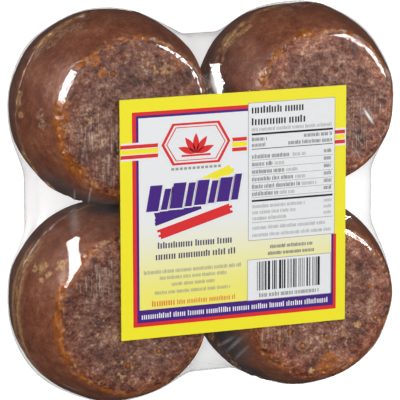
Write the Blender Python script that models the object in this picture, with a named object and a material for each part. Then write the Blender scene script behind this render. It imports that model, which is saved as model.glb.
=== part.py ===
"""Shrink-wrapped pack of eight round cane sugar blocks, with a square front label.

Each block is a squat bun with a flat narrow face. Two blocks sit wide end to wide end in a
stack, and four stacks of slightly uneven size stand in a square. Clear film is drawn tight
round all of them: it hugs the buns and bridges the gaps between them in shallow waists. The
pack lies on its back: +Z is the label's normal, +Y is the label's top, and the origin is the
middle of the base.
"""

import bmesh
import bpy
import numpy as np

# Driving dimensions, in metres.
BLOCK_HEIGHT = 0.0270
FACE_STEP = 0.0075         # how much smaller in radius a block's face is than its wide rim
FILM_GAP = 0.0003          # the film's outside beyond the sugar
STACKS = (                 # each stack's axis, x and y, and the radius of its widest rim
    (-0.0351, 0.0363, 0.0344),
    (0.0376, 0.0359, 0.0333),
    (-0.0354, -0.0339, 0.0355),
    (0.0366, -0.0364, 0.0343),
)
WAIST_LEFT = 0.0646        # from the middle of the pack to the film between two stacks
WAIST_RIGHT = 0.0640
WAIST_TOP = 0.0597
WAIST_BOTTOM = 0.0622
CREASE_BLEND = 0.0047      # softness of the crease where a waist leaves a stack
FACE_EDGE_BLEND = 0.0030   # softness of the edge round a flat face
PILLOW_DROP = 0.0006       # how far the film lies below the faces in the middle of the pack
PILLOW_POWER = 3.2         # roundness of the film where it turns from front to side
OUTLINE_POWER = 8.0        # squareness of the bridging film, seen from the front
LABEL_WIDTH = 0.0860
LABEL_HEIGHT = 0.0855
LABEL_OFFSET_X = 0.0018    # the label sits a little right of the middle
LABEL_THICKNESS = 0.0004
LABEL_GAP = 0.0003         # clearance that keeps the label off the film

# Grid of the film's surface.
TURN_STEPS = 88            # round the pack
CAP_STEPS = 11             # from the middle of a face side to its edge
SIDE_STEPS = 12            # over the side, front to back
SOLVE_STEPS = 40           # halvings in the search for the surface
PACK_REACH = 0.0710        # about half the pack's width, to spread the rays evenly
RAY_SQUARENESS = 3.2

HALF_DEPTH = BLOCK_HEIGHT + FILM_GAP
FILM_COLOUR = (0.135, 0.052, 0.030)
LABEL_COLOUR = (0.90, 0.80, 0.05)


def clear_scene():
    for existing in list(bpy.data.objects):
        bpy.data.objects.remove(existing)


def soft_max(a, b, blend):
    """The larger of a and b, rounded where they are within blend of each other."""
    overlap = np.clip(blend - np.abs(a - b), 0.0, None) / blend
    return np.maximum(a, b) + overlap**2 * blend / 4


def soft_min(a, b, blend):
    return -soft_max(-a, -b, blend)


def outside_stacks(x, y, z):
    """Distance outside the nearest stack, negative inside it.

    A stack is widest at mid height, and its radius falls as a parabola to each face.
    """
    share = np.clip(np.abs(z) / BLOCK_HEIGHT, 0.0, 1.0)
    beyond_side = [
        np.hypot(x - axis_x, y - axis_y) - (rim + FILM_GAP - FACE_STEP * share**2)
        for axis_x, axis_y, rim in STACKS
    ]
    return soft_max(np.min(beyond_side, axis=0), np.abs(z) - HALF_DEPTH, FACE_EDGE_BLEND)


def outside_pillow(x, y, z):
    """Distance outside the bridging film, a rounded cushion that the stacks bulge out of."""
    reach_x = np.where(x < 0, WAIST_LEFT, WAIST_RIGHT)
    reach_y = np.where(y < 0, WAIST_BOTTOM, WAIST_TOP)
    reach_z = HALF_DEPTH - PILLOW_DROP
    outline = (np.abs(x / reach_x) ** OUTLINE_POWER + np.abs(y / reach_y) ** OUTLINE_POWER) ** (
        1 / OUTLINE_POWER
    )
    level = (outline**PILLOW_POWER + np.abs(z / reach_z) ** PILLOW_POWER) ** (1 / PILLOW_POWER)
    return (level - 1) * reach_z


def outside_film(x, y, z):
    return soft_min(outside_stacks(x, y, z), outside_pillow(x, y, z), CREASE_BLEND)


def meridian():
    """Steps from the middle of the front, over the side, to the middle of the back.

    Each is a share of the outline's radius and a share of the half depth.
    """
    cap = np.linspace(0.0, 1.0, CAP_STEPS + 1)[1:-1]
    side = np.cos(np.linspace(0.0, np.pi, SIDE_STEPS + 1))
    shares = np.concatenate([cap, np.ones_like(side), cap[::-1]])
    heights = np.concatenate([np.ones_like(cap), side, -np.ones_like(cap)])
    return shares, heights


def outline_radius(turn):
    """Radius of a rounded square that the rays through the grid follow."""
    return PACK_REACH * (
        np.abs(np.cos(turn)) ** RAY_SQUARENESS + np.abs(np.sin(turn)) ** RAY_SQUARENESS
    ) ** (-1 / RAY_SQUARENESS)


def film_points():
    """Points of the film on rays from the pack's centre, found by halving an interval."""
    turn = np.arange(TURN_STEPS) * 2 * np.pi / TURN_STEPS
    shares, heights = meridian()
    radius = outline_radius(turn)[None, :] * shares[:, None]
    ray = np.stack(
        [
            radius * np.cos(turn)[None, :],
            radius * np.sin(turn)[None, :],
            np.broadcast_to(heights[:, None] * HALF_DEPTH, radius.shape),
        ],
        axis=-1,
    )
    near = np.full(radius.shape, 0.2)
    far = np.full(radius.shape, 1.6)
    for _ in range(SOLVE_STEPS):
        middle = (near + far) / 2
        inside = outside_film(*np.moveaxis(ray * middle[..., None], -1, 0)) < 0
        near = np.where(inside, middle, near)
        far = np.where(inside, far, middle)
    points = ray * near[..., None]
    points[..., 2] = np.clip(points[..., 2], -HALF_DEPTH, HALF_DEPTH)
    return points


def add_object(name, mesh, colour, roughness):
    material = bpy.data.materials.new(name)
    material.use_nodes = True
    shader = material.node_tree.nodes["Principled BSDF"]
    shader.inputs["Base Color"].default_value = (*colour, 1.0)
    shader.inputs["Roughness"].default_value = roughness
    shader.inputs["Metallic"].default_value = 0.0
    mesh.materials.append(material)
    made = bpy.data.objects.new(name, mesh)
    bpy.context.scene.collection.objects.link(made)
    return made


def make_film_pack():
    """The wrapped pack out to its film, closed by a fan at the middle of each side."""
    points = film_points()
    surface = bmesh.new()
    rings = [[surface.verts.new(p) for p in ring] for ring in points]
    front = surface.verts.new((0.0, 0.0, points[0, 0, 2]))
    back = surface.verts.new((0.0, 0.0, points[-1, 0, 2]))
    for i in range(TURN_STEPS):
        j = (i + 1) % TURN_STEPS
        surface.faces.new((front, rings[0][i], rings[0][j]))
        surface.faces.new((back, rings[-1][j], rings[-1][i]))
        for upper, lower in zip(rings, rings[1:]):
            surface.faces.new((upper[i], lower[i], lower[j], upper[j]))
    bmesh.ops.translate(surface, vec=(0.0, 0.0, HALF_DEPTH), verts=surface.verts)
    bmesh.ops.triangulate(surface, faces=surface.faces)
    mesh = bpy.data.meshes.new("film_pack")
    surface.to_mesh(mesh)
    surface.free()
    mesh.shade_smooth()
    return add_object("film_pack", mesh, FILM_COLOUR, 0.25)


def make_label():
    """The square label, a thin card that lies across the four front faces."""
    card = bmesh.new()
    bmesh.ops.create_cube(card, size=1.0)
    bmesh.ops.scale(card, vec=(LABEL_WIDTH, LABEL_HEIGHT, LABEL_THICKNESS), verts=card.verts)
    mesh = bpy.data.meshes.new("label")
    card.to_mesh(mesh)
    card.free()
    label = add_object("label", mesh, LABEL_COLOUR, 0.4)
    label.location = (LABEL_OFFSET_X, 0.0, 2 * HALF_DEPTH + LABEL_GAP + LABEL_THICKNESS / 2)
    return label


clear_scene()
make_film_pack()
make_label()
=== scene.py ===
# Looks of a shrink-wrapped pack of round cane sugar blocks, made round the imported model.
# Metres, Z up. The pack lies on its back: +Z is the label's normal and +Y the label's top.
import math

import bpy
import numpy as np
from mathutils import Matrix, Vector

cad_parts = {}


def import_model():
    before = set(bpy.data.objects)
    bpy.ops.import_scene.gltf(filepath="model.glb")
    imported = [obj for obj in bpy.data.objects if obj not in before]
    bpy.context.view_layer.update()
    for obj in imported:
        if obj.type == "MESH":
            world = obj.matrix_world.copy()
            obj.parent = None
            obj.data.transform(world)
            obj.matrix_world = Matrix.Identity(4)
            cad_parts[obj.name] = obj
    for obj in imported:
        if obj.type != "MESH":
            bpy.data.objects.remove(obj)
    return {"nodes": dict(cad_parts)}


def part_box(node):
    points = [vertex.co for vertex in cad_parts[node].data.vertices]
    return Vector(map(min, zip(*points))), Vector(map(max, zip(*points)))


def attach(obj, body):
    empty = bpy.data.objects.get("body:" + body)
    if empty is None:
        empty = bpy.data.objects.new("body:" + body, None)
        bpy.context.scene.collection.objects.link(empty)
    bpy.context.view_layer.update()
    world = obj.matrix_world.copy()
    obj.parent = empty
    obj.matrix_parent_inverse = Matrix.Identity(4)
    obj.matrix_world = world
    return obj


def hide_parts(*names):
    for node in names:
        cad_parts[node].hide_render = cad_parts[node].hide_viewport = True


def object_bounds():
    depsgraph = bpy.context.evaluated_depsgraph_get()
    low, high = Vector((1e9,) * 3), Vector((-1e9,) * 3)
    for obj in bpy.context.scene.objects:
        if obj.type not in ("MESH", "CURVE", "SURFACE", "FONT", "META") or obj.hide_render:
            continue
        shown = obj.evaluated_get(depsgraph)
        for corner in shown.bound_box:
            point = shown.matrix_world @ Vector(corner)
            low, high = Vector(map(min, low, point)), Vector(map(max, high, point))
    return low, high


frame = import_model()

cadLow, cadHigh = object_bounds()
filmLow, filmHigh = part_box("film_pack")
labelLow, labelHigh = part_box("label")
mm = 0.001
halfDepth = (filmHigh.z - filmLow.z) / 2
seamHeight = filmLow.z + halfDepth          # where the two blocks of a stack meet


def softMax(a, b, blend):
    # larger of two distances, rounded where they are within blend of each other
    overlap = np.clip(blend - np.abs(a - b), 0, None) / blend
    return np.maximum(a, b) + overlap ** 2 * blend / 4


def softMin(a, b, blend):
    return -softMax(-a, -b, blend)


def rise(value, low, high):
    # 0 below low, 1 above high, and a smooth step between
    share = np.clip((value - low) / (high - low), 0, 1)
    return share * share * (3 - 2 * share)


def hump(value, middle, reach):
    # 1 at the middle, falling like a bell to almost nothing at twice the reach
    return np.exp(-((value - middle) / reach) ** 2)


def halved(isInside, near, far, steps):
    # how far each ray stays inside a shape: the interval is halved on the side where it leaves
    for _ in range(steps):
        middle = (near + far) / 2
        inside = isInside(middle)
        near, far = np.where(inside, middle, near), np.where(inside, far, middle)
    return near


latticeSize = 64
lattice = np.random.default_rng(11).uniform(-1, 1, (latticeSize,) * 3)


def noise(points, size, seed=0.0):
    # random numbers on a cubic lattice of the given size, joined by smooth steps: about -1 to 1
    cell = points / size + seed * 17.31
    low = np.floor(cell).astype(int)
    part = cell - low
    part = part * part * (3 - 2 * part)
    x, y, z = (np.stack([low[..., i], low[..., i] + 1]) % latticeSize for i in range(3))
    total = 0
    for i in (0, 1):
        alongX = part[..., 0] if i else 1 - part[..., 0]
        for j in (0, 1):
            alongY = part[..., 1] if j else 1 - part[..., 1]
            for k in (0, 1):
                alongZ = part[..., 2] if k else 1 - part[..., 2]
                total = total + alongX * alongY * alongZ * lattice[x[i], y[j], z[k]]
    return total


def rubble(points, size, octaves, seed=0.0):
    # noise with finer noise added, each octave half the size and about half the height
    total = sum(noise(points, size / 2 ** i, seed + i) * 0.55 ** i for i in range(octaves))
    return total / sum(0.55 ** i for i in range(octaves)) * 1.6


def skin(name, rings):
    # closed mesh over rings stacked from top to bottom, each running anticlockwise seen from above,
    # with a fan to a middle point at both ends
    count, around = rings.shape[:2]
    points = np.concatenate([rings.reshape(-1, 3), rings[:1].mean(axis=1), rings[-1:].mean(axis=1)])
    here = np.arange(count * around).reshape(count, around)
    beside = np.roll(here, -1, axis=1)
    walls = np.stack([here[:-1], here[1:], beside[1:], beside[:-1]], axis=-1).reshape(-1, 4)
    top = np.stack([np.full(around, count * around), here[0], beside[0]], axis=-1)
    bottom = np.stack([np.full(around, count * around + 1), beside[-1], here[-1]], axis=-1)
    mesh = bpy.data.meshes.new(name)
    mesh.from_pydata(points.tolist(), [], walls.tolist() + top.tolist() + bottom.tolist())
    mesh.shade_smooth()
    return mesh


def record(mesh, name, values):
    # one number for each grid point, kept as a mesh attribute; both middle points get their ring's mean
    whole = np.concatenate([values.ravel(), [values[0].mean(), values[-1].mean()]])
    mesh.attributes.new(name, "FLOAT", "POINT").data.foreach_set("value", whole.astype(np.float32))


def place(mesh, *materials):
    piece = bpy.data.objects.new(mesh.name, mesh)
    bpy.context.scene.collection.objects.link(piece)
    for material in materials:
        mesh.materials.append(material)
    return piece


class Wire:
    # a socket of a node tree: arithmetic on it adds Math nodes
    def __init__(self, tree, socket):
        self.tree, self.socket = tree, socket

    def math(self, operation, *others):
        return self.tree.add("ShaderNodeMath", {"operation": operation}, [self, *others])

    def __add__(self, other):
        return self.math("ADD", other)

    __radd__ = __add__

    def __sub__(self, other):
        return self.math("SUBTRACT", other)

    def __rsub__(self, other):
        return (self * -1).math("ADD", other)

    def __mul__(self, other):
        return self.math("MULTIPLY", other)

    __rmul__ = __mul__

    def __truediv__(self, other):
        return self.math("DIVIDE", other)

    def __pow__(self, other):
        return self.math("POWER", other)

    def size(self):
        return self.math("ABSOLUTE")

    def least(self, other):
        return self.math("MINIMUM", other)

    def most(self, other):
        return self.math("MAXIMUM", other)

    def step(self, low, high):
        # smooth step from 0 at low to 1 at high; the other way round when low is above high
        options = {"interpolation_type": "SMOOTHSTEP"}
        sockets = {"Value": self, "From Min": low, "From Max": high}
        return self.tree.add("ShaderNodeMapRange", options, sockets)


class Recipe:
    # one material and its node tree
    def __init__(self, name):
        self.material = bpy.data.materials.new(name)
        self.material.use_nodes = True
        self.nodes = self.material.node_tree.nodes
        self.links = self.material.node_tree.links
        self.nodes.clear()

    def add(self, kind, settings, sockets, output=0):
        # any node: its settings come first, then the value or link of each socket, by name or in order
        node = self.nodes.new(kind)
        for key, value in settings.items():
            if key == "stops":
                self.setStops(node.color_ramp, value)
            else:
                setattr(node, key, value)
        targets = [socket for socket in node.inputs if socket.enabled]
        names = [socket.name for socket in targets]
        pairs = sockets.items() if isinstance(sockets, dict) else enumerate(sockets)
        for key, value in pairs:
            target = targets[key if isinstance(key, int) else names.index(key)]
            if isinstance(value, Wire):
                self.links.new(value.socket, target)
            else:
                target.default_value = value
        shown = [socket for socket in node.outputs if socket.enabled]
        return Wire(self, shown[output]) if shown else None

    def setStops(self, ramp, stops):
        while len(ramp.elements) < len(stops):
            ramp.elements.new(1.0)
        for element, (position, colour) in zip(ramp.elements, stops):
            element.position, element.color = position, (*colour, 1)

    def at(self):
        return self.add("ShaderNodeTexCoord", {}, [], 3)       # Object coordinates

    def mixed(self, share, first, second, blend="MIX"):
        # first colour where share is 0, second where it is 1
        first, second = ((*c, 1) if isinstance(c, tuple) else c for c in (first, second))
        options = {"data_type": "RGBA", "blend_type": blend}
        return self.add("ShaderNodeMix", options, {"Factor": share, "A": first, "B": second})

    def attribute(self, name):
        return self.add("ShaderNodeAttribute", {"attribute_name": name}, [], 2)

    def clouds(self, size, detail=3.0, roughness=0.55, where=None):
        where = where or self.at()
        sockets = {"Vector": where, "Scale": 1 / size, "Detail": detail, "Roughness": roughness}
        return self.add("ShaderNodeTexNoise", {}, sockets)

    def cells(self, size):
        # a random grey for each crystal
        return self.add("ShaderNodeTexVoronoi", {}, {"Vector": self.at(), "Scale": 1 / size}, 1)

    def bump(self, height, strength, distance):
        sockets = {"Strength": strength, "Distance": distance, "Height": height}
        return self.add("ShaderNodeBump", {}, sockets)

    def surface(self, **sockets):
        # Principled BSDF: underscores in the names stand for spaces
        named = {key.replace("_", " "): value for key, value in sockets.items()}
        for key, value in named.items():
            if isinstance(value, tuple) and len(value) == 3 and key.endswith("Color"):
                named[key] = (*value, 1)
        return self.add("ShaderNodeBsdfPrincipled", {}, named)

    def done(self, shader):
        self.add("ShaderNodeOutputMaterial", {}, {"Surface": shader})
        return self.material


wrap = dict(
    faceStep=7.5 * mm,         # a block's face is this much smaller in radius than its rim
    blockHeight=27.0 * mm,
    gap=0.3 * mm,              # film outside the sugar
    stacks=dict(               # axis x, axis y, rim radius and the way it is widest, in degrees
        topLeft=(-35.2 * mm, 36.0 * mm, 34.5 * mm, 60),
        topRight=(37.8 * mm, 35.6 * mm, 33.6 * mm, 100),
        bottomLeft=(-35.5 * mm, -34.2 * mm, 35.6 * mm, 70),
        bottomRight=(36.7 * mm, -36.4 * mm, 34.4 * mm, 45),
    ),
    oval=0.3 * mm,             # how far the rims are from round
    lumps=0.14 * mm,           # how far they are from smooth
    waists=dict(left=64.6 * mm, right=64.0 * mm, top=59.7 * mm, bottom=62.2 * mm),
    dent=(1.5 * mm, 44.5 * mm, 1.7 * mm, 6.5 * mm),      # hollow above the label: x, y, depth, reach
    creaseBlend=4.7 * mm,      # rounding where the cushion meets the stacks
    edgeBlend=3.0 * mm,        # rounding at the edge of each face
    flatBlend=0.2 * mm,        # rounding where the film meets the level of the faces
    pillowDrop=0.6 * mm,       # the cushion is this much lower than the faces
    pillowPower=3.2,           # squareness of the cushion from the side
    outlinePower=8,            # and from above
    reach=71.0 * mm,           # about half the pack's width, to spread the rays evenly
    raySquareness=3.2,
    around=700,
    capRings=38,
    sideRings=62,
    gloss=(0.035, 0.45),       # of the film seen straight on, and what it gains seen edge on
    haze=(0.002, 0.012, 0.02), # everywhere, where the film bridges a gap, and its streaks there
    tint=(0.965, 0.965, 0.965),
)


def beyondSide(radius, height, rim):
    # distance outside a stack's side: its radius falls as a parabola from the seam to each face
    share = np.clip(np.abs(height) / wrap["blockHeight"], 0, 1)
    return radius - (rim - wrap["faceStep"] * share ** 2)


def rimSwell(turn, widest):
    # what a rim's radius gains towards an angle: a wave twice round makes it oval, and waves seven and
    # eleven times round, which start elsewhere on each stack, make it lumpy
    oval = np.cos(2 * (turn - math.radians(widest)))
    lumps = np.sin(7 * turn + widest) + 0.7 * np.sin(11 * turn + 2 * widest)
    return wrap["oval"] * oval + wrap["lumps"] * lumps


def beyondStacks(x, y, z):
    sides = []
    for axisX, axisY, rim, widest in wrap["stacks"].values():
        swollen = rim + rimSwell(np.arctan2(y - axisY, x - axisX), widest)
        sides.append(beyondSide(np.hypot(x - axisX, y - axisY), z, swollen) - wrap["gap"])
    return softMax(np.min(sides, axis=0), np.abs(z) - halfDepth, wrap["edgeBlend"])


def beyondPillow(x, y, z):
    # distance outside the film that bridges the stacks, a rounded cushion
    waists = wrap["waists"]
    reachX = np.where(x < 0, waists["left"], waists["right"])
    reachY = np.where(y < 0, waists["bottom"], waists["top"])
    reachZ = halfDepth - wrap["pillowDrop"]
    above, beside = wrap["outlinePower"], wrap["pillowPower"]
    outline = (np.abs(x / reachX) ** above + np.abs(y / reachY) ** above) ** (1 / above)
    level = (outline ** beside + np.abs(z / reachZ) ** beside) ** (1 / beside)
    x0, y0, depth, reach = wrap["dent"]
    dent = depth * hump(x, x0, reach) * hump(y, y0, reach) * rise(z, 5 * mm, 15 * mm)
    return (level - 1) * reachZ + dent


def filmRings():
    # points of the film on rays from the pack's middle, found by halving an interval: the rays fan
    # over the front, then down the side along a rounded square, then over the back
    turn = np.arange(wrap["around"]) * 2 * np.pi / wrap["around"]
    inward = np.linspace(0, 1, wrap["capRings"] + 1)[1:-1] ** 0.7
    side = np.cos(np.linspace(0, np.pi, wrap["sideRings"] + 1))
    shares = np.concatenate([inward, np.ones_like(side), inward[::-1]])[:, None]
    heights = np.concatenate([np.ones_like(inward), side, -np.ones_like(inward)])[:, None]
    power = wrap["raySquareness"]
    cos, sin = np.cos(turn), np.sin(turn)
    radius = wrap["reach"] * (np.abs(cos) ** power + np.abs(sin) ** power) ** (-1 / power)
    flat = shares * radius
    ray = np.stack(np.broadcast_arrays(flat * cos, flat * sin, heights * halfDepth), axis=-1)

    def isInside(stretch):
        x, y, z = np.moveaxis(ray * stretch[..., None], -1, 0)
        joined = softMin(beyondStacks(x, y, z), beyondPillow(x, y, z), wrap["creaseBlend"])
        return softMax(joined, np.abs(z) - halfDepth, wrap["flatBlend"]) < 0

    stretch = halved(isInside, np.full(ray.shape[:2], 0.2), np.full(ray.shape[:2], 1.6), 30)
    return ray * stretch[..., None]


# painted highlights: white streaks in the film where its stretched creases would catch the light,
# alike in front and behind: middle x, middle y, half length and half width in mm, angle in degrees
# and how white each one is
creaseHighlights = (
    (53.9, 30.9, 5.2, 0.85, -56, 0.95),
    (58.6, 23.4, 2.6, 0.30, -62, 0.35),
    (49.8, 17.5, 6.0, 0.35, -60, 0.20),
    (49.8, 22.8, 5.2, 0.40, -53, 0.22),
    (-55.4, 8.5, 4.2, 0.45, -87, 0.12),
    (-51.0, 10.3, 6.0, 0.50, -87, 0.14),
    (-55.4, -0.4, 8.0, 2.40, -90, 0.09),
    (-48.8, -19.5, 5.2, 0.55, -82, 0.16),
    (4.6, -49.2, 6.0, 1.40, 48, 0.11),
    (1.3, -48.0, 5.0, 1.30, 28, 0.10),
    (7.5, -53.6, 6.0, 1.20, 62, 0.09),
    (-2.6, -57.3, 8.0, 0.30, -16, 0.22),
    (-2.4, 45.0, 6.5, 3.4, 100, 0.95),
    (-55.8, -61.0, 5.5, 0.40, -25, 0.18),
)

# where the film wrinkles and doesn't shine: middle x, middle y, half length, half width and angle
dullSpots = (
    (12.0, 45.5, 5.0, 3.6, 60),
    (-61.4, -14.5, 11.0, 3.2, 77),
    (-52.4, -12.0, 8.5, 3.2, 88),
)


def filmMaterial():
    film = Recipe("clearFilm")
    haze, crinkle = film.attribute("haze"), film.attribute("crinkle")
    facing = film.add("ShaderNodeLayerWeight", {}, {"Blend": 0.5}, 1)
    gloss = wrap["gloss"][0] + wrap["gloss"][1] * facing ** 4

    def inEllipse(x, y, long, wide, angle, full):
        # 0 outside an ellipse seen from above, rising to 1 at the given share of its size
        local = film.add("ShaderNodeMapping", {"vector_type": "TEXTURE"}, {
            "Vector": film.at(),
            "Location": (x * mm, y * mm, 0),
            "Rotation": (0, 0, math.radians(angle)),
            "Scale": (long * mm, wide * mm, 1)})
        return film.add("ShaderNodeVectorMath", {"operation": "LENGTH"}, [local]).step(1.0, full)

    # painted highlights: each crease streak adds white to the film's haze
    for *shape, white in creaseHighlights:
        haze = haze + inEllipse(*shape, 0.0) * white
    for spot in dullSpots:
        gloss = gloss * (1 - inEllipse(*spot, 0.75))
    breaks = film.clouds(1.5 * mm, 2.0)
    gloss = gloss * (1 - crinkle * breaks.step(0.51, 0.56) * 0.92)
    shown = (gloss + haze).least(0.95)
    height = film.clouds(4 * mm, 2.0) + crinkle * film.clouds(1.3 * mm, 2.0) * 1.5
    shine = film.surface(Base_Color=(1, 1, 1), Metallic=gloss / shown, Roughness=0.05,
                         Normal=film.bump(height, 0.3, 0.15 * mm))
    clear = film.add("ShaderNodeBsdfTransparent", {}, {"Color": (*wrap["tint"], 1)})
    return film.done(film.add("ShaderNodeMixShader", {}, [shown, clear, shine]))


def makeFilm():
    rings = filmRings()
    x, y, z = np.moveaxis(rings, -1, 0)
    lifted = rise(beyondStacks(x, y, z), 0.15 * mm, 2.0 * mm)       # 1 where the film bridges a gap
    nearEdge = [
        hump(np.hypot(x - axisX, y - axisY), rim - wrap["faceStep"] - 1.2 * mm, 1.7 * mm)
        for axisX, axisY, rim, _ in wrap["stacks"].values()
    ]
    touching = rise(beyondStacks(x, y, z), 0.5 * mm, 0.05 * mm)
    streaks = np.clip(rubble(rings * (1, 1, 0.25), 3 * mm, 3, 5), 0, 1)
    everywhere, bridging, streaked = wrap["haze"]
    mesh = skin("film", rings + (0, 0, seamHeight))
    record(mesh, "haze", everywhere + bridging * lifted + streaked * lifted * streaks)
    record(mesh, "crinkle", np.max(nearEdge, axis=0) * rise(np.abs(z), 18 * mm, 23 * mm) * touching)
    piece = place(mesh, filmMaterial())
    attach(piece, "root")
    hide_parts("film_pack")
    print("film", len(mesh.vertices), "points")


sugar = dict(
    seamGap=0.15 * mm,
    baseBlend=0.9 * mm,
    tight=0.12 * mm,           # how far the sugar's side comes out towards the film
    frontGrid=(200, 480),      # rows and columns
    backGrid=(130, 360),
    pits=45,
    pitWidths=(0.4 * mm, 0.6 * mm, 0.9 * mm),
    lathe=0.018,               # how much the scratches round the side vary its colour
    sideSpread=dict(drift=0.8, mottle=0.6, grain=0.6, dust=0.3),     # and how much each pattern does
    faceSpread=dict(drift=1.1, mottle=1.0, grain=0.9, dust=0.3, crystal=0.12),
    sideTones=[
        (0.10, (0.100, 0.028, 0.014)), (0.42, (0.218, 0.061, 0.027)), (0.60, (0.295, 0.097, 0.045)),
        (0.78, (0.385, 0.170, 0.090)), (0.95, (0.52, 0.31, 0.18))],
    faceTones=[
        (0.12, (0.040, 0.010, 0.004)), (0.36, (0.120, 0.032, 0.015)), (0.53, (0.205, 0.069, 0.039)),
        (0.70, (0.310, 0.140, 0.088)), (0.92, (0.56, 0.36, 0.22))],
    faceEdge=(1.04, 0.86, 0.74),                             # tint of the face near its edge
    faceMiddle=(0.96, 1.06, 1.14),
    syrup=((0.220, 0.052, 0.006), (0.43, 0.128, 0.014)),     # thin and thick
    crumb=((0.30, 0.125, 0.045), (0.62, 0.35, 0.15)),        # darkest and lightest
    # painted shade: the colour laid where the sides are in shade
    dark=(0.072, 0.055, 0.056),
    pale=(0.48, 0.34, 0.24),
    # painted shade: the colour laid in pits and recesses
    hollow=(0.055, 0.016, 0.006),
    scuff=(0.52, 0.39, 0.31),
)

# Marks on each stack, in millimetres and degrees. A patch has its kind, its angle round the axis, how
# far it is from the axis, its height above the seam and its reach; one of small height spreads over
# both blocks, and crumbs are scattered inside the reach. The dark patches are painted shade. A glaze
# runs along the face's edge between two angles and has a width, and a ridge runs round the side between
# two angles, at a height. A ring is an open bubble on the face, and scuffs are fine scratches inside a
# reach of a point on it, which run at the angle called scratch. The block behind is moved by backShift,
# and its side is darkened with painted shade by the number after it. The faces' colours are multiplied
# by the last number, painted light that makes the right-hand blocks' faces lighter.
marks = dict(
    topLeft=dict(
        patches=[
            ("amber", 125, 25.5, 27, 2.0), ("amber", 49, 24.3, 27, 1.4), ("amber", 127, 20.4, 27, 1.6),
            ("crumbs", 62, 20.0, 27, 7.5), ("crumbs", 185, 16.0, 27, 6.0),
            ("tan", 171, 34.0, 3, 2.6), ("tan", 180, 34.0, 5, 1.6), ("pale", 133, 33.5, 7, 2.4),
            ("pale", 124, 33.8, 6, 2.8), ("pale", 116, 33.5, 8, 2.6), ("pale", 141, 34.0, 4, 2.2),
            ("pale", 108, 33.9, 5, 2.0), ("pale", 178, 31.2, 17, 1.8), ("pale", 183, 31.0, 18, 1.5),
            ("dark", 238, 33.0, 8, 15)],
        glaze=[(160, 230, 2.4), (112, 160, 1.3), (40, 112, 0.7)],
        ridge=(105, 150, 1.5),
        rings=[(-8.0, 15.8, 1.0)],
        scuffs=[(-11, -10, 13)],
        scratch=96,
        backShift=(-0.1, -0.3),
        backShade=0.3,
        paintedLight=0.94,
    ),
    topRight=dict(
        patches=[
            ("amber", 137, 33.3, 0, 3.2), ("amber", 132, 33.3, 3, 2.4), ("tan", 137, 33.3, 0, 3.6),
            ("tan", 134, 33.3, 2.5, 2.6), ("tan", 129, 33.1, 4, 1.6), ("tan", 143, 33.2, 1, 1.4),
            ("amber", 48, 28.0, 25, 1.6), ("tan", 107, 26.0, 26, 1.2), ("tan", 152, 27.0, 25, 1.8),
            ("pale", 92, 32.9, 5, 2.6), ("pale", 80, 33.0, 4, 2.6), ("pale", 68, 32.9, 6, 2.0),
            ("pale", 102, 32.6, 7, 2.0), ("dark", 178, 33.0, 6, 10)],
        glaze=[(95, 165, 1.4), (-30, 95, 0.9)],
        ridge=(40, 120, 1.0),
        rings=[],
        scuffs=[(17, -8, 13)],
        scratch=118,
        backShift=(-1.8, -0.8),
        backShade=0.2,
        paintedLight=1.25,
    ),
    bottomLeft=dict(
        patches=[
            ("tan", 150, 34.0, 12, 2.2), ("tan", 143, 31.4, 20, 2.3), ("tan", 153, 34.7, 9, 1.7),
            ("tan", 153, 32.5, 17, 1.3), ("tan", 157, 33.2, 15, 1.0), ("crumbs", 200, 12.0, 27, 6.0),
            ("crumbs", 262, 19.0, 27, 8.0), ("dark", 92, 34.0, 6, 11), ("dark", 250, 34.0, 6, 9)],
        glaze=[(118, 218, 1.7), (218, 300, 1.0)],
        ridge=(135, 245, 3.2),
        rings=[(-3.0, -18.0, 1.2), (8.5, -14.0, 1.0)],
        scuffs=[(-14, 14, 9)],
        scratch=92,
        backShift=(0.0, 0.0),
        backShade=0.4,
        paintedLight=0.92,
    ),
    bottomRight=dict(
        patches=[
            ("amber", 277, 21.8, 27, 3.3), ("amber", 270, 24.3, 27, 2.4), ("tan", 327, 16.7, 27, 1.3),
            ("crumbs", 290, 15.0, 27, 8.0), ("amber", 14, 19.6, 27, 0.8), ("amber", 48, 29.5, 24, 1.8),
            ("tan", 259, 25.2, 27, 1.2), ("dark", 205, 33.0, 8, 15), ("dark", 232, 34.0, 5, 12)],
        glaze=[(200, 300, 0.1), (-60, 60, 0.5)],
        ridge=(-80, 20, 0.5),
        rings=[(-12.9, -9.8, 1.3), (-17.2, -11.7, 1.1), (-7.8, -15.2, 1.2), (20.8, -7.4, 1.0),
               (2.0, -13.0, 0.8)],
        scuffs=[(-19, -8, 8)],
        scratch=60,
        backShift=(-1.9, -0.3),
        backShade=0.8,
        paintedLight=1.28,
    ),
)


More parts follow.
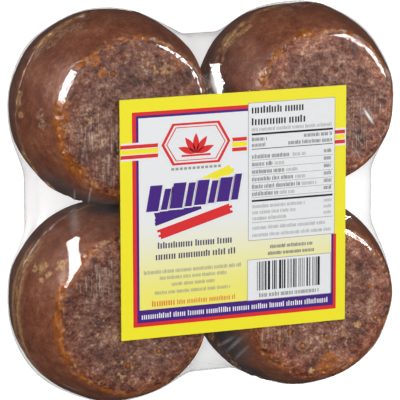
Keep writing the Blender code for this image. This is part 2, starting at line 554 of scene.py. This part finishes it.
def blockOutline(rim, rows):
    # half outline of a block, from the middle of its face over the side to the middle of its wide base:
    # where the softened largest of the distances beyond side, face and base is zero
    angle = np.linspace(np.pi / 2, -np.pi / 2, 4001)
    middle = wrap["blockHeight"] * 0.45

    def isInside(reach):
        r, z = reach * np.cos(angle), middle + reach * np.sin(angle)
        side = beyondSide(r, z, rim) - sugar["tight"]
        body = softMax(side, z - wrap["blockHeight"], wrap["edgeBlend"])
        return softMax(body, sugar["seamGap"] - z, sugar["baseBlend"]) < 0

    reach = halved(isInside, np.zeros_like(angle), np.full_like(angle, 60 * mm), 40)
    r, z = reach * np.cos(angle), middle + reach * np.sin(angle)
    along = np.concatenate([[0], np.cumsum(np.hypot(np.diff(r), np.diff(z)))])
    edge, base = along[np.argmax(r + z)], along[np.argmax(r - z)]     # corners at the face and the rim
    # rows stand closest round the face's edge and widest on the hidden base
    density = 1.0 + 1.4 * hump(along, edge, 3 * mm) - 0.75 * rise(along, base, base + 4 * mm)
    share = np.concatenate([[0], np.cumsum((density[1:] + density[:-1]) / 2 * np.diff(along))])
    at = np.interp(np.linspace(0, share[-1], rows + 2)[1:-1], share, along)
    r, z = np.interp(at, along, r), np.interp(at, along, z)
    slopeR, slopeZ = np.gradient(r, at), np.gradient(z, at)
    length = np.hypot(slopeR, slopeZ)
    return r, z, -slopeZ / length, slopeR / length, at - edge


def bubbles(plain, rim, seed, rings):
    # how deep each point lies in a round pit left by a bubble, and the raised rims of the wide ones
    chance = np.random.default_rng(100 + seed)
    pit, ring = np.zeros(plain.shape[:2]), np.zeros(plain.shape[:2])
    faceRadius = rim - wrap["faceStep"] - 1.5 * mm
    for _ in range(sugar["pits"]):
        out, turned = faceRadius * math.sqrt(chance.random()), chance.uniform(0, 2 * np.pi)
        centre = np.array([out * math.cos(turned), out * math.sin(turned), wrap["blockHeight"]])
        width = chance.choice(sugar["pitWidths"], p=(0.6, 0.3, 0.1))
        away = np.linalg.norm((plain - centre) * (1, chance.uniform(0.8, 1.25), 1), axis=-1)
        pit = np.maximum(pit, rise(away, width * 1.15, width * 0.3) * chance.uniform(0.4, 0.9))
    for x, y, width in rings:
        away = np.linalg.norm(plain - (x * mm, y * mm, wrap["blockHeight"]), axis=-1) / (width * mm)
        away = away + 0.25 * noise(plain, 1.5 * mm, 41)
        ring = np.maximum(ring, hump(away, 1.25, 0.25))
        pit = np.maximum(pit, hump(away, 0.85, 0.25) * 0.8)
    return pit, ring


def turnedBetween(turn, first, last, fade):
    # 1 between two angles in degrees, falling to 0 at both ends over the fade
    middle, half = math.radians((first + last) / 2), math.radians((last - first) / 2)
    swing = np.abs(np.angle(np.exp(1j * (turn - middle))))[None]
    return rise(half - swing, 0, math.radians(fade))


def addMarks(masks, given, front, there, plain, fromEdge, turn):
    # the block's own patches, glazes and scuffs on top of what it has by chance
    ragged = 0.6 * rubble(there, 2.2 * mm, 3, 21) + 0.6 * rubble(there, 0.9 * mm, 2, 22)
    for kind, angle, out, height, reach in given["patches"]:
        a = math.radians(angle)
        centre = np.array([out * math.cos(a), out * math.sin(a), height if front else -height]) * mm
        away = np.linalg.norm(plain - centre, axis=-1) / (reach * mm)
        if kind == "crumbs":
            crumbs = rise(rubble(there, 1.3 * mm, 2, 24), 0.25, 0.6) * rise(away, 1.0, 0.5)
            masks["tan"] = np.maximum(masks["tan"], crumbs * 0.8)
            continue
        torn, fade = dict(amber=(0.35, 0.3), dark=(0.1, 0.8)).get(kind, (0.8, 0.35))
        masks[kind] = np.maximum(masks[kind], rise(1.15 - away + torn * ragged, 0.0, fade))
    if not front:
        return
    for first, last, width in given["glaze"]:
        lobes = rubble(there, 4.5 * mm, 2, 23)
        reach = (width + lobes * 1.3 + ragged * 0.9) * mm
        band = rise(reach - np.abs(fromEdge - 0.1 * mm), 0, 0.7 * mm)
        band = band * turnedBetween(turn, first, last, 8)
        masks["amber"] = np.maximum(masks["amber"], band)
        masks["tan"] = masks["tan"] * (1 - 0.85 * band)
        masks["hollow"] = masks["hollow"] * (1 - 0.8 * band)
    for x, y, width in given["rings"]:
        away = np.hypot(plain[..., 0] - x * mm, plain[..., 1] - y * mm) / (width * mm)
        masks["amber"] = np.maximum(masks["amber"], rise(away, 1.4, 0.7) * masks["face"])
    for x, y, reach in given["scuffs"]:
        away = np.hypot(plain[..., 0] - x * mm, plain[..., 1] - y * mm) / (reach * mm)
        rubbed = rise(1.2 - away + 0.3 * ragged, 0, 0.6)
        masks["scuff"] = np.maximum(masks["scuff"], rubbed * masks["face"])


def makeBlock(name, stack, front, seed, material):
    axisX, axisY, rim, widest = wrap["stacks"][stack]
    given = marks[stack]
    rows, columns = sugar["frontGrid"] if front else sugar["backGrid"]
    r, z, outR, outZ, fromEdge = (part[:, None] for part in blockOutline(rim, rows))
    turn = np.arange(columns) * 2 * np.pi / columns
    cos, sin = np.cos(turn)[None], np.sin(turn)[None]
    swollen = r + rimSwell(turn, widest)[None] * rise(r, 5 * mm, 20 * mm)
    plain = np.stack(np.broadcast_arrays(swollen * cos, swollen * sin, z), axis=-1)
    out = np.stack(np.broadcast_arrays(outR * cos, outR * sin, outZ), axis=-1)
    there = plain + (seed * 0.1, seed * 0.07, seed * 0.13)      # each block meets its own noise

    # where the face, its crumbly edge and the ragged seam rim are
    wobble = noise(there, 3.5 * mm, 3) * 1.1 * mm + noise(there, 1.2 * mm, 4) * 0.6 * mm
    face = rise(-fromEdge + wobble, -0.7 * mm, 0.4 * mm)
    edge = hump(fromEdge + wobble * 0.8, -0.3 * mm, 1.9 * mm)
    seam = hump(z, 0, 2.2 * mm)
    first, last, height = given["ridge"]
    meander = height * mm + 1.3 * mm * noise(there, 7 * mm, 51) + 0.4 * mm * noise(there, 2 * mm, 52)
    ridge = hump(z, meander, 1.5 * mm) * turnedBetween(turn, first, last, 15)
    nodules = rubble(there, 1.9 * mm, 2, 6)

    # relief in millimetres along the outward normal: coarse waves, crystal grain on the face, bites out
    # of the edge and chips out of the rim
    waves, grain = rubble(there, 10 * mm, 2, 2), rubble(there, 1.3 * mm, 3, 1)
    furrows = rubble(there, 4 * mm, 2, 31)
    bites = rise(rubble(there, 4.0 * mm, 2, 9), 0.1, 0.8)
    chips = np.clip(rubble(there, 5 * mm, 3, 8) - 0.3, 0, 1)
    relief = (0.14 * waves + 0.06 * grain - 0.05) * (1 - face)
    relief = relief + face * (0.26 * grain + 0.10 * waves + 0.14 * furrows - 0.2)
    relief = relief + edge * (0.45 * nodules - 0.15 - 0.8 * bites)
    relief = relief + seam * (0.15 + 0.3 * nodules - 3.5 * chips)
    relief = relief + ridge * (0.35 + 0.3 * nodules)
    pit, ring = bubbles(plain, rim, seed, given["rings"] if front else ())
    relief = relief - pit * 0.5 + ring * 0.12
    rings = plain + out * np.clip(relief, -3, 0.14)[..., None] * mm

    # scratches run round the side: noise that is long round the axis and short along it
    around = np.stack(np.broadcast_arrays(turn[None] * 9 * mm, z * 7, r * 0 + seed), axis=-1)
    lathe = rubble(around, 4 * mm, 3, 61)
    masks = dict(
        face=face,
        lathe=lathe,
        amber=edge * rise(nodules + 0.7 * noise(there, 9 * mm, 12), 0.0, 0.7) * 0.8,
        tan=np.clip(
            seam * rise(rubble(there, 3 * mm, 2, 14) + 0.5 * noise(there, 15 * mm, 16), 0.0, 0.5)
            + 0.35 * ring + 0.7 * edge * rise(rubble(there, 1.5 * mm, 2, 15), 0.2, 0.8)
            + ridge * rise(nodules, -1.4, -0.5), 0, 1),
        pale=np.zeros_like(face),
        # painted shade: the dark patches, and all over the side of a block behind
        dark=np.full_like(face, 0.0 if front else given["backShade"]),
        core=rise(-fromEdge + 1.5 * mm * noise(there, 6 * mm, 33), 1.5 * mm, 11 * mm),
        # painted shade: darker in bubble pits and where the relief sinks
        hollow=np.clip(0.8 * pit + rise(-relief, 0.45, 1.1) * np.clip(face + edge, 0, 1) * 0.7, 0, 1),
        scuff=np.zeros_like(face),
    )
    addMarks(masks, given, front, there, plain, fromEdge, turn)
    if not front:
        rings = (rings * (1, 1, -1))[::-1]
        masks = {key: values[::-1] for key, values in masks.items()}
    shiftX, shiftY = (0, 0) if front else given["backShift"]
    mesh = skin(name, rings + (axisX + shiftX * mm, axisY + shiftY * mm, seamHeight))
    for key, values in masks.items():
        record(mesh, key, values)
    piece = place(mesh, material)
    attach(piece, "root")


def sugarMaterial(name, scratch, paintedLight):
    # dark waxy sides and greyer crystalline faces, with amber syrup, tan crumbs and scratches, painted
    # shade in pits, recesses and shaded patches, and painted light that makes some faces lighter
    block = Recipe(name)
    names = ("face", "core", "lathe", "amber", "tan", "pale", "dark", "hollow", "scuff")
    face, core, lathe, amber, tan, pale, dark, hollow, scuff = (block.attribute(mask) for mask in names)
    patterns = dict(
        drift=block.clouds(9 * mm, 3.0),
        mottle=block.clouds(2.6 * mm, 3.0, 0.6),
        grain=block.clouds(0.9 * mm, 3.0, 0.65),
        dust=block.clouds(0.4 * mm, 1.0),
        crystal=block.cells(0.8 * mm),
    )
    mottle, grain, crystal = (patterns[name] for name in ("mottle", "grain", "crystal"))

    def tone(spread):
        # place on a ramp of colours: the middle, moved by each pattern
        return sum(((patterns[name] - 0.5) * amount for name, amount in spread.items()), 0.5)

    sideTone = tone(sugar["sideSpread"]) + lathe * sugar["lathe"]
    side = block.add("ShaderNodeValToRGB", {"stops": sugar["sideTones"]}, [sideTone])
    # painted shade on the sides
    side = block.mixed(dark * 0.9, side, sugar["dark"])
    rough = block.add("ShaderNodeValToRGB", {"stops": sugar["faceTones"]}, [tone(sugar["faceSpread"])])
    # painted light: each block's face colour is scaled, lighter on the right-hand blocks
    rough = block.mixed(1.0, rough, (paintedLight, paintedLight, paintedLight), "MULTIPLY")
    warmth = block.mixed(core, sugar["faceEdge"], sugar["faceMiddle"])
    rough = block.mixed(1.0, rough, warmth, "MULTIPLY")
    base = block.mixed(face, side, rough)
    syrup = block.mixed((mottle * 0.7 + grain * 0.3).step(0.34, 0.60), *sugar["syrup"])
    base = block.mixed(amber * 0.95, base, syrup)
    crumb = block.mixed(grain.step(0.35, 0.60), *sugar["crumb"])
    base = block.mixed(tan * mottle.step(0.26, 0.40), base, crumb)
    base = block.mixed(pale * grain.step(0.42, 0.58) * 0.65, base, sugar["pale"])
    # painted shade in pits and recesses
    base = block.mixed(hollow, base, sugar["hollow"])
    lines = block.add("ShaderNodeMapping", {}, {
        "Vector": block.at(),
        "Rotation": (0, 0, math.radians(90 - scratch)),
        "Scale": (1 / (0.6 * mm), 1 / (12 * mm), 1 / (5 * mm))})
    streak = block.clouds(1, 2.0, 0.6, where=lines).step(0.48, 0.70) * scuff * mottle.step(0.35, 0.55)
    base = block.mixed(streak * 0.7, base, sugar["scuff"])
    height = grain * (0.4 + face) + mottle * face + crystal * face * 0.2 + streak * 0.5
    return block.done(block.surface(
        Base_Color=base, Roughness=0.42 + 0.2 * face - 0.12 * amber, Specular_IOR_Level=0.2,
        Normal=block.bump(height, 0.45, 0.3 * mm)))


def makeBlocks():
    for number, stack in enumerate(wrap["stacks"]):
        given = marks[stack]
        name = "caneSugar" + stack[:1].upper() + stack[1:]
        material = sugarMaterial(name, given["scratch"], given["paintedLight"])
        makeBlock("sugar_front_" + stack, stack, True, 2 * number + 1, material)
        makeBlock("sugar_back_" + stack, stack, False, 2 * number + 2, material)
    print("sugar blocks", 2 * len(wrap["stacks"]))


inks = dict(
    white=(0.80, 0.81, 0.82),
    yellow=(0.88, 0.79, 0.022),
    red=(0.72, 0.022, 0.025),
    purple=(0.060, 0.014, 0.22),
    orange=(0.78, 0.22, 0.030),
    black=(0.018, 0.016, 0.020),
    slate=(0.075, 0.060, 0.145),
    grey=(0.33, 0.33, 0.31),
)

# Places on the label are millimetres from its lower left corner: left, right, bottom, top.
card = dict(
    frameRed=[(4.4, 48.6, 4.3, 80.9), (4.4, 82.4, 4.3, 31.9)],
    framePurple=[(5.9, 48.6, 5.7, 79.6), (5.9, 81.3, 5.7, 31.9)],
    field=[(6.8, 48.6, 10.3, 78.7), (6.8, 80.5, 10.3, 31.9)],
    fade=(46, 12),             # heights between which the field turns from white to pale yellow
    paleYellow=(0.86, 0.80, 0.15),
    clearance=0.01 * mm,
    ink=0.02 * mm,             # thickness of one printed layer
)


def labelMaterial():
    paper = Recipe("printedCard")
    across = paper.add("ShaderNodeSeparateXYZ", {}, [paper.at()], 0)
    upward = paper.add("ShaderNodeSeparateXYZ", {}, [paper.at()], 1)
    u, v = (across - labelLow.x) / mm, (upward - labelLow.y) / mm

    def within(boxes):
        # 1 inside any of the rectangles
        inside = None
        for left, right, bottom, top in boxes:
            wide = (u - (left + right) / 2).size() * -1 + (right - left) / 2
            high = (v - (bottom + top) / 2).size() * -1 + (top - bottom) / 2
            patch = wide.least(high).step(0, 0.08)
            inside = patch if inside is None else inside.most(patch)
        return inside

    field = paper.mixed(v.step(*card["fade"]), inks["white"], card["paleYellow"])
    colour = paper.mixed(within(card["frameRed"]), inks["yellow"], inks["red"])
    colour = paper.mixed(within(card["framePurple"]), colour, inks["purple"])
    colour = paper.mixed(within(card["field"]), colour, field)
    return paper.done(paper.surface(
        Base_Color=colour, Roughness=0.36 + 0.1 * paper.clouds(0.5 * mm, 2.0), Specular_IOR_Level=0.12,
        Normal=paper.bump(paper.clouds(14 * mm, 2.0), 0.15, 0.3 * mm)))


def inkMaterial(name, colour):
    ink = Recipe("ink" + name.capitalize())
    thin = tuple(c * 0.92 + 0.012 for c in colour)
    return ink.done(ink.surface(
        Base_Color=ink.mixed(ink.clouds(0.4 * mm, 2.0).step(0.45, 0.75), colour, thin),
        Roughness=0.34 + 0.1 * ink.clouds(0.6 * mm, 2.0), Specular_IOR_Level=0.12))


def box(left, right, bottom, top, lean=0.0):
    # corners of an upright box whose top is moved sideways by lean
    return np.array([(left, bottom), (right, bottom), (right + lean, top), (left + lean, top)])


def alongAndAside(x0, y0, x1, y1):
    # unit vectors from one point towards another, and square to that on the left
    way = np.array([x1 - x0, y1 - y0]) / math.hypot(x1 - x0, y1 - y0)
    return way, np.array([-way[1], way[0]])


def bar(x0, y0, x1, y1, width):
    # corners of a straight stroke
    aside = alongAndAside(x0, y0, x1, y1)[1] * width / 2
    start, end = np.array([x0, y0]), np.array([x1, y1])
    return np.array([start - aside, end - aside, end + aside, start + aside])


def leaf(x, y, angle, length, width):
    # outline of a pointed leaf: two arcs, each a sine from tip to tip
    t = np.linspace(0, 1, 9)
    bulge = np.sin(np.pi * t) * width / 2
    along = np.concatenate([t, t[-2:0:-1]]) * length
    aside = np.concatenate([-bulge, bulge[-2:0:-1]])
    cos, sin = math.cos(math.radians(angle)), math.sin(math.radians(angle))
    return np.stack([x + along * cos - aside * sin, y + along * sin + aside * cos], axis=-1)


def brush(x0, y0, x1, y1, width, seed):
    # outline of a flat brush stroke: a bar whose two ends step in and out by chance
    chance = np.random.default_rng(seed)
    way, aside = alongAndAside(x0, y0, x1, y1)
    steps = np.repeat(np.linspace(-0.5, 0.5, 5), 2)[1:-1]
    jag = np.repeat(chance.uniform(-0.7, 0.7, 4), 2)
    start = np.array([x0, y0]) + steps[::-1, None] * aside * width + jag[:, None] * way
    end = np.array([x1, y1]) + steps[:, None] * aside * width + jag[::-1, None] * way
    return np.concatenate([end, start])


class Print:
    # printed shapes, gathered by ink as thin closed slabs and made into one piece for each ink
    def __init__(self):
        self.points = {name: [] for name in inks}
        self.faces = {name: [] for name in inks}

    def add(self, ink, outline, level):
        # a slab over an anticlockwise outline in label millimetres
        count, first = len(outline), len(self.points[ink])
        low = labelHigh.z + card["clearance"] + level * card["ink"]
        for height in (low, low + card["ink"]):
            self.points[ink] += [(labelLow.x + u * mm, labelLow.y + v * mm, height) for u, v in outline]
        lower = [first + i for i in range(count)]
        upper = [first + count + i for i in range(count)]
        self.faces[ink] += [upper, lower[::-1]]
        self.faces[ink] += [(lower[i - 1], lower[i], upper[i], upper[i - 1]) for i in range(count)]

    def words(self, ink, left, right, bottom, height, level, seed, bold=1.0):
        # a line of stand-in print: plain upright strokes in groups
        chance = np.random.default_rng(seed)
        x, strokes = left, chance.integers(5, 16)
        stroke = 0.15 * height * bold
        while x < right - stroke:
            gap = height * chance.uniform(0.13, 0.24)
            tall = height * (0.95 if chance.random() < 0.15 else 0.78)
            self.add(ink, box(x, x + stroke, bottom, bottom + tall), level)
            strokes -= 1
            if strokes == 0:
                gap = height * 0.5
                strokes = chance.integers(5, 16)
            x += stroke + gap

    def finish(self):
        for name, points in self.points.items():
            mesh = bpy.data.meshes.new("print_" + name)
            mesh.from_pydata(points, [], self.faces[name])
            piece = place(mesh, inkMaterial(name, inks[name]))
            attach(piece, "root")


def printEmblem(page):
    # a long six-sided badge with a sprig of leaves, on a red and yellow stripe
    for left, right, lean in ((0.0, 14.4, 0.6), (42.0, 48.0, 0.0), (81.5, 86.0, 0.0)):
        page.add("white", box(left, right, 63.9, 70.2, lean), 0)
        for ink, bottom, top in (("red", 64.6, 65.9), ("yellow", 66.2, 67.9), ("red", 68.2, 69.5)):
            page.add(ink, box(left, right - 0.4, bottom, top, lean / 4), 1)
    middle, height = 28.3, 68.6
    badges = (("white", 14.0, 8.3), ("red", 13.0, 7.4), ("white", 11.9, 6.6), ("red", 11.2, 6.0),
              ("white", 10.8, 5.7))
    for level, (ink, wide, high) in enumerate(badges):
        corner = wide * 0.68
        badge = np.array([(-wide, 0), (-corner, -high), (corner, -high),
                          (wide, 0), (corner, high), (-corner, high)])
        page.add(ink, badge + (middle, height), level + 2)
    for angle in (20, 55, 90, 125, 160):
        page.add("red", leaf(middle, height - 3.6, angle, 7.2, 2.3), 7)
    page.add("red", box(middle - 5.5, middle + 5.5, height - 4.6, height - 3.9), 7)
    for index in range(12):
        page.add("grey", box(19.0 + index * 1.6, 20.1 + index * 1.6, 59.4, 60.3), 1)


def printStrokes(page):
    # slanted purple bars over three flat brush strokes
    page.add("yellow", brush(28.5, 53.6, 42.0, 58.6, 3.2, 3), 1)
    page.add("purple", brush(12.6, 42.6, 30.0, 47.5, 5.0, 5), 1)
    page.add("white", bar(13.4, 36.2, 42.4, 44.6, 4.4), 2)
    page.add("red", brush(14.2, 36.9, 41.4, 44.4, 3.6, 8), 3)
    x = 9.4
    bars = ((4.6, 9.2), (2.4, 7.4), (4.8, 9.0), (2.6, 8.4),
            (4.4, 8.8), (2.4, 8.0), (4.6, 8.6), (2.6, 9.2))
    for wide, tall in bars:
        bottom = 45.4 + (x - 9.4) * 0.06
        page.add("white", box(x - 0.5, x + wide + 0.5, bottom - 0.5, bottom + tall + 0.5, 1.9), 4)
        page.add("purple", box(x, x + wide, bottom, bottom + tall, 1.7), 5)
        x += wide + 0.9


def printTable(page):
    # a ruled table of stand-in print in a thin box
    page.add("grey", box(48.1, 81.7, 31.9, 81.5), 1)
    page.add("white", box(48.3, 81.5, 32.1, 81.3), 2)
    heading = (
        ("black", 49.5, 69.4, 77.6, 2.7, 3, 40, 1.5),
        ("black", 49.5, 70.4, 73.4, 2.7, 3, 41, 1.5),
        ("grey", 49.5, 80.4, 71.2, 1.4, 3, 42),
        ("black", 49.6, 55.7, 67.7, 1.5, 3, 43),
        ("black", 69.6, 80.6, 67.9, 1.5, 3, 44),
        ("black", 49.6, 55.0, 65.6, 1.5, 3, 45),
        ("black", 63.6, 80.6, 65.6, 1.5, 3, 46),
    )
    for line in heading:
        page.words(*line)
    for bottom, top in ((69.8, 70.5), (64.7, 64.95), (45.9, 46.6)):
        page.add("black", box(49.5, 80.8, bottom, top), 3)
    rows = ((61.4, 15, 5), (58.7, 8, 4), (56.0, 12.5, 5), (53.3, 16, 4), (50.6, 18.5, 6), (48.0, 10, 6))
    for number, (bottom, first, second) in enumerate(rows):
        page.words("black", 49.6, 49.6 + first, bottom, 1.6, 3, 50 + number)
        page.words("grey", 50.3 + first, 50.3 + first + second, bottom, 1.5, 3, 60 + number)
        page.words("black", 77.4, 80.4, bottom + 0.4, 1.5, 3, 70 + number)
        page.add("grey", box(49.5, 80.8, bottom - 0.65, bottom - 0.5), 3)
    for number, bottom in enumerate((43.6, 41.4, 39.2)):
        page.words("grey", 49.8, 70.0 - 3.5 * number, bottom, 1.4, 3, 80 + number)
        page.words("grey", 77.4, 80.4, bottom + 0.3, 1.3, 3, 84 + number)
    page.add("grey", box(49.5, 80.8, 38.3, 38.5), 3)
    page.words("grey", 49.8, 78.0, 35.8, 1.4, 3, 90)
    page.words("grey", 49.8, 80.4, 33.2, 1.4, 3, 91)


def printBars(page):
    # a box of upright bars of chance widths
    page.add("grey", box(47.8, 80.3, 10.1, 25.1), 1)
    page.add("white", box(48.0, 80.1, 10.3, 24.9), 2)
    chance = np.random.default_rng(29)
    x = 51.5
    while x < 76.2:
        wide = chance.choice([0.25, 0.4, 0.6, 0.9], p=[0.4, 0.3, 0.2, 0.1])
        page.add("black", box(x, x + wide, 13.6, 24.1), 3)
        x += wide + chance.choice([0.3, 0.5, 0.8], p=[0.5, 0.3, 0.2])
    page.words("black", 52.4, 75.6, 11.1, 1.7, 3, 30, 0.9)


# other lines of stand-in print: ink, left, right, bottom, height, layer, seed and how bold
printLines = (
    ("slate", 13.8, 42.0, 31.9, 2.4, 1, 20, 1.5),
    ("slate", 13.0, 43.2, 27.9, 2.4, 1, 21, 1.5),
    ("grey", 8.5, 45.4, 23.0, 1.5, 1, 22),
    ("grey", 14.5, 40.0, 20.7, 1.4, 1, 23),
    ("grey", 19.0, 35.2, 18.2, 1.4, 1, 24),
    ("grey", 12.6, 41.5, 15.5, 1.4, 1, 25),
    ("orange", 11.5, 20.0, 11.3, 2.3, 1, 26, 1.4),
    ("orange", 21.0, 43.4, 11.4, 1.8, 1, 27, 1.2),
    ("slate", 56.6, 73.0, 28.6, 1.4, 1, 28, 1.2),
    ("slate", 55.8, 73.8, 26.2, 1.4, 1, 31, 1.2),
    ("white", 7.6, 79.6, 7.0, 2.0, 1, 32, 1.4),
)


def makePrint():
    page = Print()
    printEmblem(page)
    printStrokes(page)
    printTable(page)
    printBars(page)
    for line in printLines:
        page.words(*line)
    page.finish()
    print("print in", len(inks), "inks")


def makeLabel():
    label = frame["nodes"]["label"]
    label.data.materials.clear()
    label.data.materials.append(labelMaterial())
    print("label")


studio = dict(
    sideways=21.98,            # degrees from the label's normal towards its left
    upwards=11.2,              # degrees from the label's normal towards its top
    roll=-0.17,
    distance=1.0969,
    lens=273.3,
    sensor=36,
    aim=(-0.184 * mm, -0.539 * mm, 0.150 * mm),     # from the pack's middle
    floorHalf=3.0,
    floorGlow=0.70,
    # degrees round from +X towards +Y, degrees over the floor, distance, width, height and watts
    shines=dict(leftPanel=(150, 15, 0.4, 0.17, 0.34, 5.8), rightPanel=(28, 36, 0.5, 0.30, 0.26, 8)),
    lights=dict(keyLight=(155, 48, 1.4, 1.2, 1.2, 13), fillLight=(10, 60, 1.4, 1.2, 1.2, 7.5)),
    surround=(0.30, 0.04),     # brightness of the room, and of its reflection
)


def makeFloor():
    half = studio["floorHalf"]
    mesh = bpy.data.meshes.new("floor")
    corners = [(-half, -half), (half, -half), (half, half), (-half, half)]
    mesh.from_pydata([(x, y, cadLow.z - 0.2 * mm) for x, y in corners], [], [(0, 1, 2, 3)])
    paper = Recipe("paleFloor")
    tone = paper.mixed(paper.clouds(0.3, 2.0), (0.90, 0.90, 0.90), (0.93, 0.93, 0.93))
    floor = place(mesh, paper.done(paper.surface(
        Base_Color=tone, Roughness=0.9, Specular_IOR_Level=0.1,
        Emission_Color=(1, 1, 1), Emission_Strength=studio["floorGlow"])))
    floor.visible_glossy = False
    floor.visible_diffuse = False
    print("floor")


def makeLight(name, across, above, distance, width, height, power, glossOnly):
    # a panel that faces the pack's middle, and either shines in the film or lights everything else
    a, e = math.radians(across), math.radians(above)
    back = np.array([math.cos(a) * math.cos(e), math.sin(a) * math.cos(e), math.sin(e)])
    lamp = bpy.data.lights.new(name, "AREA")
    lamp.shape, lamp.size, lamp.size_y, lamp.energy = "RECTANGLE", width, height, power
    light = bpy.data.objects.new(name, lamp)
    light.location = back * distance + (0, 0, seamHeight)
    right = np.array([-math.sin(a), math.cos(a), 0])
    light.rotation_euler = Matrix(np.stack([right, np.cross(back, right), back]).T.tolist()).to_euler()
    light.visible_glossy = glossOnly
    light.visible_diffuse = not glossOnly
    light.visible_camera = False
    bpy.context.scene.collection.objects.link(light)


def makeLights():
    for name, given in studio["shines"].items():
        makeLight(name, *given, glossOnly=True)
    for name, given in studio["lights"].items():
        makeLight(name, *given, glossOnly=False)
    world = bpy.data.worlds.new("studio")
    world.use_nodes = True
    nodes, links = world.node_tree.nodes, world.node_tree.links
    ray = nodes.new("ShaderNodeLightPath")
    level = nodes.new("ShaderNodeMapRange")
    for key, value in zip(("To Min", "To Max"), studio["surround"]):
        level.inputs[key].default_value = value
    links.new(ray.outputs["Is Glossy Ray"], level.inputs["Value"])
    links.new(level.outputs[0], nodes["Background"].inputs["Strength"])
    nodes["Background"].inputs["Color"].default_value = (1, 1, 1, 1)
    bpy.context.scene.world = world
    print("lights", len(studio["shines"]) + len(studio["lights"]))


def makeCamera():
    # the viewing direction is the label's normal turned sideways and upwards
    a, e, roll = (math.radians(studio[key]) for key in ("sideways", "upwards", "roll"))
    back = np.array([-math.sin(a) * math.cos(e), math.sin(e), math.cos(a) * math.cos(e)])
    right = np.cross(-back, (0, 1, 0))
    right /= np.linalg.norm(right)
    up = np.cross(back, right)
    cos, sin = math.cos(roll), math.sin(roll)
    axes = [cos * right + sin * up, cos * up - sin * right, back]
    lens = bpy.data.cameras.new("camera")
    lens.lens, lens.sensor_width = studio["lens"], studio["sensor"]
    lens.clip_start, lens.clip_end = 0.01, 20
    camera = bpy.data.objects.new("camera", lens)
    camera.rotation_euler = Matrix(np.stack(axes).T.tolist()).to_euler()
    camera.location = back * studio["distance"] + studio["aim"] + (0, 0, seamHeight)
    bpy.context.scene.collection.objects.link(camera)
    bpy.context.scene.camera = camera
    print("camera")


makeFloor()
makeFilm()
makeBlocks()
makeLabel()
makePrint()
makeLights()
makeCamera()
bpy.context.scene.view_settings.view_transform = "Standard"
